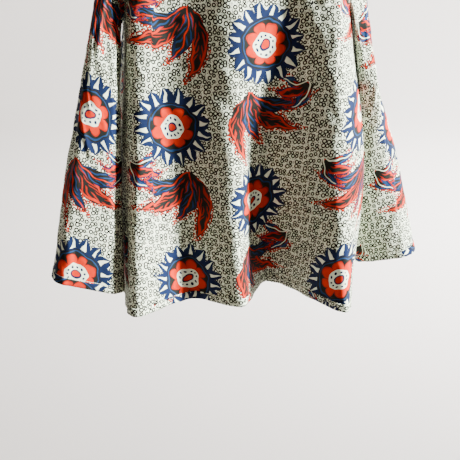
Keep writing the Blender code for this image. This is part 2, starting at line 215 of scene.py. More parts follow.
# Creases and ripples fade out by side seams, shoulders and armholes, and seams fade in at the
# neck's corner and under the arm
SIDE_FADE = 0.030
TOP_CALM = 0.05
TOP_FADE = 0.09
SLEEVE_FADE = 0.035
CORNER_REACH = 0.004
CORNER_FADE = 0.006
UNDERARM_FADE = 0.01

# Grooves of the seams, and the small puckers beside them with the lengths of their slow changes
SEAM_GROOVE = 0.0009
SEAM_GROOVE_WIDTH = 0.0028
PUCKER_LENGTH = 0.0095
PUCKER_HEIGHT = 0.00035
PUCKER_REACH = 0.009
PUCKER_SWELL = 0.041
SWELL_DRIFT = 0.023
PUCKER_DRIFT = 0.031

# Studio: a round floor that is level out to FLOOR_LEVEL and curves up into its own backdrop
FLOOR_Z = -2.0
FLOOR_LEVEL = 8.0
FLOOR_REACH = 12.0
WALL_HEIGHT = 3.0
FIRST_RING = 6.0
FLOOR_RINGS = 31
FLOOR_SIDES = 64

# Lamps: degrees to the right of the blouse's front and above it, distance from its middle, size,
# watts, colour and aim
MIDDLE = (0.0, 0.0, -0.45)
Lamp = namedtuple("Lamp", "name kind right above away size power colour aim")
LAMPS = (
    Lamp("key", "SPOT", 76.0, 26.0, 6.0, 0.80, 16800.0, (0.94, 0.99, 0.94), MIDDLE),
    Lamp("fill", "AREA", -20.0, 15.0, 4.0, 3.0, 5.0, (1.0, 0.80, 0.54), MIDDLE),
    Lamp("back", "AREA", 130.0, 35.0, 6.0, 4.0, 2600.0, (1.0, 0.98, 0.96), (3.5, 7.0, -1.0)),
)

# Divisions of the fine grids
NECK_STEPS = 40
SHOULDER_STEPS = 34
ARMHOLE_STEPS = 62
SIDE_STEPS = 136
NECK_ROLL_DEG = tuple(np.linspace(80.0, 0.0, 6))
ROLL_ROWS_DEG = tuple(np.linspace(0.0, 60.0, 7))
SLEEVE_ARMHOLE_STEPS = 42
SLEEVE_ROWS = 190
TURNED_ROWS = 5

# Rows of the cloth that a turned edge repeats: the edge itself for its turn, and then the rows from
# the hem upward or from the neck downward
HEM_ROWS = [-1, *range(-1, -TURNED_ROWS - 1, -1)]
NECK_ROWS = [0, *range(TURNED_ROWS + 1)]


def smooth(x):
    """0 up to 0, 1 from 1 on, and an even rise between."""
    x = np.clip(x, 0.0, 1.0)
    return x * x * (3.0 - 2.0 * x)


def unit(vectors):
    """The same directions at unit length."""
    return vectors / np.maximum(np.linalg.norm(vectors, axis=-1, keepdims=True), 1e-12)


def walked(points, axis=0):
    """Length walked to each of a grid's points along an axis, from its first point on."""
    steps = np.linalg.norm(np.diff(points, axis=axis), axis=-1)
    return np.insert(np.cumsum(steps, axis=axis), 0, 0.0, axis=axis)


def through(knots, values, at, start_slope=None):
    """A smooth curve through values[k] at knots[k], read at each place: cubic spans whose slope at
    a knot is the slope of the parabola through it and its two neighbours."""
    knots = np.asarray(knots, float)
    at = np.asarray(at, float)
    values = np.broadcast_to(values, (len(knots),) + at.shape)
    steps = np.diff(knots).reshape((-1,) + (1,) * at.ndim)
    rises = np.diff(values, axis=0) / steps
    slope = np.empty_like(values)
    slope[1:-1] = (steps[1:] * rises[:-1] + steps[:-1] * rises[1:]) / (steps[1:] + steps[:-1])
    slope[0] = rises[0] if start_slope is None else start_slope
    slope[-1] = rises[-1]
    span = np.clip(np.searchsorted(knots, at, side="right") - 1, 0, len(knots) - 2)
    length = np.diff(knots)[span]
    u = (at - knots[span]) / length

    def pick(table, k):
        return np.take_along_axis(table, k[None], axis=0)[0]

    return (
        (1 + 2 * u) * (1 - u) ** 2 * pick(values, span)
        + u * (1 - u) ** 2 * length * pick(slope, span)
        + u * u * (3 - 2 * u) * pick(values, span + 1)
        + u * u * (u - 1) * length * pick(slope, span + 1)
    )


def half_width(drop, start_half=CHEST_HALF, start=CHEST_DROP):
    """Half the flat width at a drop along a straight line to the hem: the side seam's, which is
    carried on above the chest, or that from another start."""
    return start_half + (HEM_HALF - start_half) * (drop - start) / (HEM_DROP - start)


def shoulder_drop(across):
    """Drop of the shoulder line, carried on straight past neck and tip."""
    return SHOULDER_DROP * (np.abs(across) - NECK_HALF) / (SHOULDER_HALF - NECK_HALF)


def fold_stations():
    """Place of each fold line round the body, by its distance along the hem: the front runs from
    -1 at the left seam to 1 at the right seam, and the back on from 1 to 3."""
    hem = np.array([(f.hem_x, f.hem_y) for f in BODY_FOLDS])
    steps = np.linalg.norm(np.roll(hem, -1, axis=0) - hem, axis=1)
    front = np.cumsum(steps[:FRONT_SPANS]) / steps[:FRONT_SPANS].sum()
    back = np.cumsum(steps[FRONT_SPANS:]) / steps[FRONT_SPANS:].sum()
    return np.concatenate([[-1.0], 2 * front - 1, 2 * back[:-1] + 1])


def body_point(across, drop, side):
    """Place in space of a point of the flat front or back, given by its distance from the middle
    line and its drop: on a smooth curve round the body through the fold lines, each of which is a
    smooth curve through its levels. At the top the cloth rolls over the hanger's arm."""
    share = across / half_width(drop)
    stations = fold_stations()
    place = share if side == FRONT else 2.0 - share
    top = shoulder_drop(across)
    below = np.maximum(drop - top, 0.0)
    level = below + top * smooth(below / (CHEST_DROP - top))
    levels = (0.0, CHEST_DROP, WAIST_DROP, HEM_DROP)
    flat_top = half_width(SHOULDER_DROP / 2) * np.where(stations <= 1, stations, 2 - stations)
    columns = []
    for f, x0 in zip(BODY_FOLDS, flat_top):
        xs = np.array([x0, f.chest_x, f.waist_x, f.hem_x]).reshape((-1,) + (1,) * level.ndim)
        ys = np.array([0.0, f.chest_y, f.waist_y, f.hem_y]).reshape(xs.shape)
        columns.append((through(levels, xs, level), through(levels, ys, level)))
    lift = np.array([f.hem_lift for f in BODY_FOLDS])
    around = np.concatenate([stations[-2:] - 4, stations, stations[:3] + 4])
    order = np.concatenate([[-2, -1], np.arange(len(stations)), [0, 1, 2]])
    x, y = (through(around, np.array(column)[order], place) for column in zip(*columns))
    rise = lift[order].reshape((-1,) + (1,) * level.ndim)
    z = through(around, rise, place) * smooth((drop - CHEST_DROP) / (HEM_DROP - CHEST_DROP))
    near = np.clip(below / ARM_ROLL, 0.0, 1.0)
    roll = ARM_ROLL * np.sqrt(1 - (1 - near) ** 2) * (1 - smooth(drop / CHEST_DROP))
    return np.stack([x, y + side * (roll + SEAM_GAP / 2), NECK_SIDE_Z - drop + z], axis=-1)


def armhole_curve(u, half):
    """Flat armhole from the shoulder tip (u 0) to the underarm (u 1), a cubic curve, and its
    outward direction."""
    p = np.array([
        (SHOULDER_HALF, SHOULDER_DROP),
        (half, ARMHOLE_UPPER_DROP),
        (half, ARMHOLE_LOWER_DROP),
        (CHEST_HALF, CHEST_DROP),
    ])
    u = np.asarray(u)[:, None]
    left = 1 - u
    point = left**3 * p[0] + 3 * u * left**2 * p[1] + 3 * u * u * left * p[2] + u**3 * p[3]
    turn = left**2 * (p[1] - p[0]) + 2 * u * left * (p[2] - p[1]) + u * u * (p[3] - p[2])
    turn = unit(turn)
    return point, np.stack([turn[:, 1], -turn[:, 0]], axis=1)


def top_edge(neck_drop):
    """Neck and shoulder of the right half: across as a share of half the panel, and drop."""
    rolled = ARM_ROLL * (1 - np.cos(np.radians(NECK_ROLL_DEG)))
    sides = (1 - rolled / neck_drop) ** (1 / NECK_ROUND)
    neck = np.concatenate([np.linspace(0, sides[0], NECK_STEPS + 1), sides[1:]])
    drop = neck_drop * (1 - neck**NECK_ROUND)
    shoulder = np.linspace(NECK_HALF, SHOULDER_HALF, SHOULDER_STEPS + 1)[1:]
    share = np.concatenate([neck * NECK_HALF, shoulder]) / SHOULDER_HALF
    return share, np.concatenate([drop, shoulder_drop(shoulder)])


def armhole_rows(armhole_half, count):
    """Places along the armhole where the grid's lines meet it: the turn over the hanger first, and
    then even steps."""
    rolled = SHOULDER_DROP + ARM_ROLL * (1 - np.cos(np.radians(ROLL_ROWS_DEG)))
    fine = np.linspace(0, 1, 2001)
    curve = armhole_curve(fine, armhole_half)[0]
    first = np.interp(rolled, curve[:, 1], fine)
    reach = walked(curve)
    begin = np.interp(first[-1], fine, reach)
    even = np.interp(np.linspace(begin, reach[-1], count + 1)[1:], reach, fine)
    return np.concatenate([first, even])


def flat_panel(neck_drop, armhole_half):
    """Grid of flat points of a whole panel. Its columns keep their share of the width, and its
    rows follow the neck and shoulders at the top and lie level from below the chest."""
    share, top = top_edge(neck_drop)
    share = np.concatenate([-share[:0:-1], share])[:, None]
    top = np.concatenate([top[:0:-1], top])[:, None]
    armhole = armhole_curve(armhole_rows(armhole_half, ARMHOLE_STEPS), armhole_half)[0]
    seam = np.linspace(CHEST_DROP, HEM_DROP, SIDE_STEPS + 1)[1:]
    edge = np.concatenate([armhole[:, 0], half_width(seam)]) - SEAM_GAP / 2
    level = np.concatenate([armhole[:, 1], seam])
    straight = half_width(level, SHOULDER_HALF, SHOULDER_DROP)
    across = share * straight + share**3 * (edge - straight)
    fade = 1 - smooth((level - SHOULDER_DROP) / (LEVEL_DROP - SHOULDER_DROP))
    on_neck = smooth((NECK_HALF / SHOULDER_HALF - np.abs(share)) * 5)
    # Over the neck the first rows are spaced evenly
    count = len(ROLL_ROWS_DEG)
    eased = level.copy()
    eased[:count + 1] = np.linspace(level[0], level[count], count + 1)
    drop = level + (eased - level) * on_neck + (top - SHOULDER_DROP) * fade
    return np.stack([across, drop], axis=-1)


def armhole_loop(sign):
    """Loop where a sleeve starts, once round from the tip by way of the front, a seam's gap out
    from the panels; the direction in which the cloth leaves it, on with the panel at the tip and
    straight out from it at the underarm; and the turn round the sleeve."""
    loops = []
    for side, hollow in ((FRONT, FRONT_ARMHOLE_HALF), (BACK, BACK_ARMHOLE_HALF)):
        u = armhole_rows(hollow, SLEEVE_ARMHOLE_STEPS)
        fold = math.pi / 2 * smooth((u - TURN_FROM) / TURN_OVER)[:, None]
        flat, out = armhole_curve(u, hollow)
        along = np.stack([-out[:, 1], out[:, 0]], axis=1)
        edge, on, down = (
            body_point(sign * f[:, 0], f[:, 1], side)
            for f in (flat, flat + PROBE * out, flat + PROBE * along)
        )
        run = on - edge
        # Front and back leave the tip in one plane
        run[:, 1] *= smooth(4 * u)
        run = unit(run)
        facing = unit(np.cross(run, down - edge) * side * sign)
        reach = walked(flat)
        loops.append((
            edge + run * (SEAM_GAP + SOLID_WALL / 2 * np.sin(fold)),
            run * np.cos(fold) + facing * np.sin(fold),
            math.pi * reach / reach[-1],
        ))
    (front, front_run, front_turn), (back, back_run, back_turn) = loops
    start = np.concatenate([front, back[-2:0:-1]])
    run = np.concatenate([front_run, back_run[-2:0:-1]])
    for k, mate in ((0, 0), (len(front) - 1, -1)):
        start[k] = (front[mate] + back[mate]) / 2
        run[k] = front_run[mate] + back_run[mate]
        run[k] /= np.linalg.norm(run[k])
    return start, run, np.concatenate([front_turn, math.tau - back_turn[-2:0:-1]])


def sleeve_ring(ring, sign, cuff_share, turn):
    """One ring of a sleeve: a rounded box across the arm, hollowed by the sleeve's folds, which
    fade above the elbow. turn is 0 at the outer edge and a quarter turn at the front."""
    c, s = np.cos(turn), np.sin(turn)
    power = 2 / SLEEVE_BOX
    wide = ring.half_width * np.sign(c) * np.abs(c) ** power
    deep = ring.half_depth * np.sign(s) * np.abs(s) ** power
    for f in SLEEVE_FOLDS:
        away = (np.degrees(turn) - f.at_deg + 180) % 360 - 180
        depth = (f.elbow + (f.cuff - f.elbow) * cuff_share) * np.exp(-((away / f.width_deg) ** 2))
        depth = depth * smooth(1 + 1.5 * cuff_share)
        wide = wide - depth * c
        deep = deep - depth * s
    lean, turned = math.radians(ring.lean_deg), math.radians(ring.turned_deg)
    out = wide * math.cos(turned) - deep * math.sin(turned)
    ahead = deep * math.cos(turned) + wide * math.sin(turned)
    x = ring.x + sign * out * math.cos(lean)
    z = NECK_SIDE_Z - ring.drop + out * math.sin(lean)
    return np.stack([x, ring.y - ahead, z], axis=1)


def sleeve_grid(name, sign):
    """Grid of a sleeve: columns that leave the armhole along the body's cloth and run down through
    the rings to the cuff."""
    start, run, turn = armhole_loop(sign)
    push = LEAVE_AT_TIP + (LEAVE_AT_UNDERARM - LEAVE_AT_TIP) * np.sin(turn / 2)
    shares = zip(SLEEVE_RINGS[name], FOLD_SHARES)
    stops = np.array([start, *(sleeve_ring(ring, sign, share, turn) for ring, share in shares)])
    reach = walked(stops)
    down = np.linspace(0, 1, SLEEVE_ROWS + 1)
    grid = np.empty((len(turn), len(down), 3))
    for k in range(len(turn)):
        for axis in range(3):
            grid[k, :, axis] = through(
                reach[:, k], stops[:, k, axis, None], down * reach[-1, k], push[k] * run[k, axis]
            )
    return grid


def grid_normals(grid, around):
    """Unit normals of a grid by the cross product of its two central differences."""
    if around:
        wide = np.roll(grid, -1, axis=0) - np.roll(grid, 1, axis=0)
    else:
        wide = np.gradient(grid, axis=0)
    return unit(np.cross(wide, np.gradient(grid, axis=1)))


def sleeve_lengths(closed):
    """Flat lengths on a sleeve: round each row, from the outer edge both ways to the underarm, from
    each point down to the cuff, and all round. Lengths round a row are level with the cuff: each
    step between two columns without their difference in height over the cuff."""
    to_cuff = walked(closed[:, ::-1], 1)[:, ::-1]
    steps = np.linalg.norm(np.diff(closed, axis=0), axis=-1)
    level = np.sqrt(np.maximum(steps**2 - np.diff(to_cuff, axis=0) ** 2, 0.0))
    level = np.insert(np.cumsum(level, axis=0), 0, 0.0, axis=0)
    total = level[-1].copy()
    level[len(level) // 2 + 1:] -= total
    return level[:-1], to_cuff[:-1], total


def crease_height(name, across, down):
    """Height of the creases over the flat cloth: each is a bell across a line that sways a little,
    and fades in and out along it."""
    total = np.zeros_like(across)
    for c in map(Crease._make, CREASES[name]):
        line = np.array([c.x1 - c.x0, c.v1 - c.v0])
        length = np.linalg.norm(line)
        along = ((across - c.x0) * line[0] + (down - c.v0) * line[1]) / length**2
        away = ((across - c.x0) * line[1] - (down - c.v0) * line[0]) / length
        away = away + CREASE_SWAY * c.wide * np.sin(CREASE_SWING * along + 40 * c.wide)
        fade = smooth(along / CREASE_FADE) * smooth((CREASE_END - along) / CREASE_FADE)
        total += c.high * fade * np.exp(-((away / c.wide) ** 2))
    return total


def ripple_height(seed, across, down):
    """Slow unevenness: crossed sine waves whose places come from a seeded draw."""
    draw = np.random.default_rng(seed)
    total = np.zeros_like(across)
    for long, short in RIPPLE_LENGTHS:
        shift, lean, bend = draw.uniform(0, math.tau, 3)
        drift = RIPPLE_DRIFT * np.sin(down / long * math.tau + bend)
        wave = np.sin((across + drift) / short * math.tau + shift)
        total += wave * (0.6 + 0.4 * np.sin(down / long * 5 + lean))
    return RIPPLE_HEIGHT * total


def seam_height(away, along):
    """A seam's soft groove, and the small puckers that run out from its stitches."""
    groove = -SEAM_GROOVE * np.exp(-((away / SEAM_GROOVE_WIDTH) ** 2))
    uneven = 0.6 + 0.4 * np.sin(along / PUCKER_SWELL + 1.3 * np.sin(along / SWELL_DRIFT))
    pucker = np.sin(math.tau * along / PUCKER_LENGTH + 1.5 * np.sin(along / PUCKER_DRIFT))
    near = np.exp(-((away - 0.5 * PUCKER_REACH) / (0.6 * PUCKER_REACH)) ** 2)
    return groove + PUCKER_HEIGHT * uneven * pucker * near


def turned_under(grid, normal, rows):
    """Rows that fold an edge of the cloth to the inside: a bulging turn, and then the cloth's own
    rows once more, from the edge on and moved inward."""
    inner = grid[:, rows[1:]] - normal[:, rows[1:]] * TURN_GAP
    edge, beside = grid[:, rows[1:2]], grid[:, rows[2:3]]
    turn = (edge + inner[:, :1]) / 2 + (edge - beside) * TURN_BULGE
    return np.concatenate([turn, inner], axis=1)


def panel_parts(name, side, neck_drop, armhole, seed, shift):
    """Front or back with its turned hem, and the strip turned under at its neck."""
    flat = flat_panel(neck_drop, armhole)
    flat_x, flat_y = flat[..., 0], flat[..., 1]
    grid = body_point(flat_x, flat_y, side)
    middle = len(grid) // 2
    normal = grid_normals(grid, False) * -side
    across, down = walked(grid), walked(grid, 1)
    across = across - across[middle]
    seams = np.minimum(across - across[:1], across[-1:] - across)
    height = crease_height(name, flat_x, flat_y) + ripple_height(seed, flat_x, flat_y)
    height *= smooth(seams / SIDE_FADE) * smooth((flat_y - TOP_CALM) / TOP_FADE)
    height += seam_height(seams, down)
    on_shoulder = smooth((np.abs(flat_x) - NECK_HALF + CORNER_REACH) / CORNER_FADE)
    height += seam_height(down, np.abs(across)) * on_shoulder
    grid = grid + normal * height[..., None]

    whole = np.concatenate([grid, turned_under(grid, normal, HEM_ROWS)], axis=1)
    u = np.concatenate([across, across[:, HEM_ROWS]], axis=1)
    total = down[:, -1:]
    v = np.concatenate([down, total + (total - down[:, HEM_ROWS]).mean(axis=0)], axis=1)
    edge = np.stack([u, total - v], axis=-1)
    cloth = np.stack([u * -side + shift[0], v + flat_y[:, :1] + shift[1]], axis=-1)

    neck = middle + np.arange(-NECK_STEPS, NECK_STEPS + 1)
    inside = turned_under(grid[neck], normal[neck], NECK_ROWS)
    strip = np.concatenate([grid[neck][:, :1], inside], axis=1)
    rows = [0, *NECK_ROWS]
    return [
        (whole, cloth, edge, 0.0, side == FRONT),
        (strip, cloth[neck][:, rows] + STRIP_SHIFT, edge[neck][:, rows], 0.0, side == BACK),
    ]


def sleeve_parts(name, sign, seed, shift):
    """A sleeve with its turned cuff."""
    grid = sleeve_grid(name, sign)
    normal = grid_normals(grid, True) * -sign
    closed = np.concatenate([grid, grid[:1]])
    across, down = walked(closed), walked(grid, 1)
    across, round_length = across[:-1], across[-1]
    height = crease_height(name, across, down)
    height += crease_height(name, across - round_length, down)
    height += ripple_height(seed, across, down)
    height *= smooth(down / SLEEVE_FADE)
    height += seam_height(down, across)
    under = np.abs(across - round_length / 2)
    height += seam_height(under, down) * smooth(down / UNDERARM_FADE)
    grid = grid + normal * height[..., None]

    whole = np.concatenate([grid, turned_under(grid, normal, HEM_ROWS)], axis=1)
    level, to_cuff, total = sleeve_lengths(closed)
    u = np.concatenate([level, level[:, HEM_ROWS]], axis=1)
    v = np.concatenate([-to_cuff, to_cuff[:, HEM_ROWS]], axis=1)
    cloth = np.stack([u + shift[0], v + shift[1]], axis=-1)
    edge = np.stack([u, -v], axis=-1)
    total = np.concatenate([total, total[HEM_ROWS]])
    return [(whole, cloth, edge, total, sign < 0)]


def grid_faces(columns, rows, around, outward, first=0):
    """Quads of a grid of points numbered down each column."""
    index = np.arange(columns * rows).reshape(columns, rows) + first
    if around:
        index = np.concatenate([index, index[:1]])
    faces = np.stack([index[:-1, :-1], index[:-1, 1:], index[1:, 1:], index[1:, :-1]], axis=-1)
    faces = faces.reshape(-1, 4)
    return faces if outward else faces[:, ::-1]


def cloth_object(name, parts, thickness, material):
    """One cloth piece of several grids. Each part is (points, flat cloth lengths, edge lengths,
    length round each row or 0 for an open grid, outward). The lengths become the UV maps that the
    print and the stitches read. On a closed grid they start again past the middle column."""
    points, faces, cloth, edges = [], [], [], []
    first = 0
    for grid, flat, edge, round_length, outward in parts:
        columns, rows = grid.shape[:2]
        quads = grid_faces(columns, rows, np.ndim(round_length) > 0, outward, first)
        corner = quads - first
        column = corner // rows
        past = (column == columns // 2 + 1) & (column.min(axis=1, keepdims=True) == columns // 2)
        extra = np.broadcast_to(round_length, rows)[corner % rows] * past
        extra = np.stack([extra, 0 * past], axis=-1)
        cloth.append((flat.reshape(-1, 2)[corner] + extra).reshape(-1, 2))
        edges.append((edge.reshape(-1, 2)[corner] + extra).reshape(-1, 2))
        points.append(grid.reshape(-1, 3))
        faces.append(quads)
        first += columns * rows
    mesh = bpy.data.meshes.new(name)
    mesh.from_pydata(np.concatenate(points).tolist(), [], np.concatenate(faces).tolist())
    for label, values in (("cloth", cloth), ("edges", edges)):
        layer = mesh.uv_layers.new(name=label)
        layer.data.foreach_set("uv", np.concatenate(values).ravel())
    mesh.shade_smooth()
    mesh.materials.append(material)
    made = bpy.data.objects.new(name, mesh)
    bpy.context.scene.collection.objects.link(made)
    wall = made.modifiers.new("Cloth thickness", "SOLIDIFY")
    wall.thickness = thickness
    wall.offset = 0.0
    return made


def linear(hex_colour):
    """Linear RGB of an sRGB colour written as hex."""
    srgb = np.array([int(hex_colour[k:k + 2], 16) for k in (1, 3, 5)]) / 255
    low, high = srgb / 12.92, ((srgb + 0.055) / 1.055) ** 2.4
    return tuple(float(v) for v in np.where(srgb <= 0.04045, low, high))


def add_node(tree, kind, inputs=(), **settings):
    """Adds a node to a tree: settings are its own values, and inputs are pairs of a socket's place
    and what to link there, an output or a node for its first output, or a value to set."""
    node = tree.nodes.new(kind)
    for key, value in settings.items():
        setattr(node, key, value)
    for place, source in inputs:
        if isinstance(source, bpy.types.Node):
            source = source.outputs[0]
        if isinstance(source, bpy.types.NodeSocket):
            tree.links.new(source, node.inputs[place])
        else:
            node.inputs[place].default_value = source
    return node


# The print's drawing is a table of sums on the cloth's own millimetres, one to a line: its name,
# the operation, and what it works on, either numbers or names that were worked out before.

# Half-drop lattice of motifs, mirrored in every other column: u and v become x and y from the
# middle of the motif's own cell
LATTICE = """
    column DIVIDE u column_step
    index FLOOR column
    odd FLOORED_MODULO index 2.0
    flip MULTIPLY_ADD odd -2.0 1.0
    x_share FRACT column
    x_middle SUBTRACT x_share 0.5
    x_plain MULTIPLY x_middle column_step
    x MULTIPLY x_plain flip
    row DIVIDE v row_step
    row_shifted MULTIPLY_ADD odd 0.5 row
    y_share FRACT row_shifted
    y_middle SUBTRACT y_share 0.5
    y MULTIPLY y_middle row_step
"""

# Distance and direction from a motif's own middle
POLAR = """
    dx SUBTRACT x at_x
    dy SUBTRACT y at_y
    dx2 MULTIPLY dx dx
    d2 MULTIPLY_ADD dy dy dx2
    far SQRT d2
    angle ARCTAN2 dy dx
"""

# Rosette: pointed outer petals, rounded inner petals and a dotted middle
ROSETTE = """
    p_turn MULTIPLY angle petals
    p_share FRACT p_turn
    p_side SUBTRACT p_share 0.5
    p_off ABSOLUTE p_side
    p_tip MULTIPLY_ADD p_off -2.0 1.0
    p_round POWER p_tip 0.6
    p_edge MULTIPLY_ADD p_round 14.0 47.0
    p_in SUBTRACT p_edge far
    petal GREATER_THAN p_in 0.0
    p_wide MULTIPLY p_off far
    q_a MULTIPLY p_wide 1.6
    q_b SUBTRACT p_in q_a
    q_c GREATER_THAN q_b 1.8
    q_d GREATER_THAN far 41.0
    petal_light MULTIPLY q_c q_d
    disc LESS_THAN far 38.5
    band_a SUBTRACT far 35.6
    band_b ABSOLUTE band_a
    band LESS_THAN band_b 1.0
    r_turn MULTIPLY angle lobes
    r_share FRACT r_turn
    r_side MULTIPLY_ADD r_share 2.0 -1.0
    r_square MULTIPLY r_side r_side
    r_rest SUBTRACT 1.0 r_square
    r_round SQRT r_rest
    r_edge MULTIPLY_ADD r_round 12.0 20.5
    r_in SUBTRACT r_edge far
    inner_line GREATER_THAN r_in 0.0
    inner GREATER_THAN r_in 2.0
    middle LESS_THAN far 18.0
    m_turn MULTIPLY angle ring_dots
    m_share FRACT m_turn
    m_side SUBTRACT m_share 0.5
    m_x MULTIPLY m_side 7.4
    m_y SUBTRACT far 13.0
    m_x2 MULTIPLY m_x m_x
    m_d2 MULTIPLY_ADD m_y m_y m_x2
    dots LESS_THAN m_d2 3.4
    eye_line LESS_THAN far 8.0
    eye LESS_THAN far 5.6
"""

ROSETTE_DYES = {
    "petal": "navy", "petal_light": "cream", "disc": "dark", "band": "blue", "inner_line": "red",
    "inner": "orange", "middle": "cream", "dots": "navy", "eye_line": "navy", "eye": "orange",
}

# Fan of curved leaves about one point, their lengths uneven from leaf to leaf. Every leaf is dark
# inside with hatching; every other one has a warm border, and the rest a cool one.
FAN = """
    f_bent MULTIPLY_ADD far bend angle
    f_from SUBTRACT f_bent from_angle
    f_round FLOORED_MODULO f_from tau
    f_turn DIVIDE f_round leaf_angle
    f_index FLOOR f_turn
    f_share FRACT f_turn
    f_side SUBTRACT f_share 0.5
    f_arc MULTIPLY f_side leaf_angle
    f_wide MULTIPLY f_arc far
    f_off ABSOLUTE f_wide
    f_wave MULTIPLY f_index 2.4
    f_sine SINE f_wave
    f_uneven MULTIPLY_ADD f_sine 0.12 0.88
    f_length MULTIPLY f_uneven length
    f_past SUBTRACT far inner_far
    f_t DIVIDE f_past f_length
    f_root SQRT f_t
    f_left SUBTRACT 1.0 f_t
    f_form MULTIPLY f_root f_left
    f_there LESS_THAN f_index leaves
    f_widest MULTIPLY f_there wide
    f_half MULTIPLY f_form f_widest
    f_in SUBTRACT f_half f_off
    leaf GREATER_THAN f_in 0.0
    leaf_fill GREATER_THAN f_in 2.2
    f_warm FLOORED_MODULO f_index 2.0
    f_cool SUBTRACT 1.0 f_warm
    leaf_warm MULTIPLY leaf_fill f_warm
    leaf_core GREATER_THAN f_in 5.5
    h_a MULTIPLY f_off 1.1
    h_b MULTIPLY_ADD far -0.42 h_a
    h_c SINE h_b
    h_d GREATER_THAN h_c 0.40
    h_e GREATER_THAN f_off 2.4
    h_f MULTIPLY h_d h_e
    h_g MULTIPLY leaf_core h_f
    leaf_warm_hatch MULTIPLY h_g f_warm
    leaf_cool_hatch MULTIPLY h_g f_cool
    f_vein LESS_THAN f_off 1.0
    v_a MULTIPLY leaf_fill f_vein
    leaf_vein MULTIPLY v_a f_cool
    e_a GREATER_THAN f_in -5.5
    e_b GREATER_THAN f_t 0.10
    e_c MULTIPLY e_a e_b
    e_d MULTIPLY e_c f_there
    leaf_fringe MULTIPLY e_d speck
"""
LEAF_LAYERS = ("fringe", "", "fill", "warm", "core", "warm_hatch", "cool_hatch", "vein")

# Where the motifs stand in their cell, how often the parts of a rosette come in a radian, and the
# shape of each fan
ROSE = {
    "at_x": -12.0, "at_y": -60.0,
    "petals": 16 / math.tau, "lobes": 8 / math.tau, "ring_dots": 11 / math.tau,
}
Fan = namedtuple("Fan", "at_x at_y bend from_angle leaf_angle leaves inner_far length wide")
FANS = (
    Fan(-34.0, 8.0, 0.007, 0.62, 0.50, 4.0, 3.0, 112.0, 46.0),
    Fan(62.0, -4.0, -0.016, 1.05, 0.62, 3.0, 2.0, 56.0, 30.0),
)
FAN_DYES = (
    ("red", "dark", "navy", "orange", "dark", "red", "blue", "orange"),
    ("red", "navy", "blue", "orange", "dark", "red", "red", "cream"),
)
DYES = ("cream", "navy", "blue", "orange", "red", "dark")

# Pebbled ground: one uneven ring in each cell of a scatter, and specks between the rings
GROUND = """
    ring MULTIPLY_ADD size 0.14 0.245
    from_ring SUBTRACT away ring
    ring_off ABSOLUTE from_ring
    ring_line LESS_THAN ring_off 0.135
    outside GREATER_THAN from_ring 0.22
    speck_ground LESS_THAN near 0.26
    speck_between MULTIPLY outside speck_ground
    ground_dark MAXIMUM ring_line speck_between
    speck LESS_THAN near 0.44
"""

# Machine stitches beside every turned hem, 2.6 mm long, in their groove, and the weave. Threads are
# 0.35 mm apart; they are drawn 0.9 mm apart so that the render can hold them.
THREAD_STEP = 0.9
STITCHES = """
    s_mm MULTIPLY hem_u 1000.0
    s_turn DIVIDE s_mm 3.2
    s_share FRACT s_turn
    s_on LESS_THAN s_share 0.80
    s_away SUBTRACT hem_v hem_width
    s_off ABSOLUTE s_away
    s_line LESS_THAN s_off 0.00028
    stitch MULTIPLY s_on s_line
    g_off DIVIDE s_off 0.0011
    g_square MULTIPLY g_off g_off
    g_minus MULTIPLY g_square -1.0
    g_bell EXPONENT g_minus
    g_deep MULTIPLY g_bell -0.6
    w_a MULTIPLY fu threads
    w_b SINE w_a
    w_c MULTIPLY fv threads
    w_d SINE w_c
    w_e MULTIPLY w_b w_d
    w_f MULTIPLY w_e 0.06
    w_g ADD w_f g_deep
    height MULTIPLY_ADD stitch 0.4 w_g
"""


def new_material(name):
    """A material whose nodes are still to be added, and its node tree."""
    made = bpy.data.materials.new(name)
    made.use_nodes = True
    made.node_tree.nodes.clear()
    return made, made.node_tree


def work_out(tree, sums, known):
    """Adds a node for each line of a table of sums, and keeps its result under its name."""
    for line in sums.strip().splitlines():
        name, operation, *operands = line.split()
        values = [known[v] if v in known else float(v) for v in operands]
        known[name] = add_node(tree, "ShaderNodeMath", enumerate(values), operation=operation)


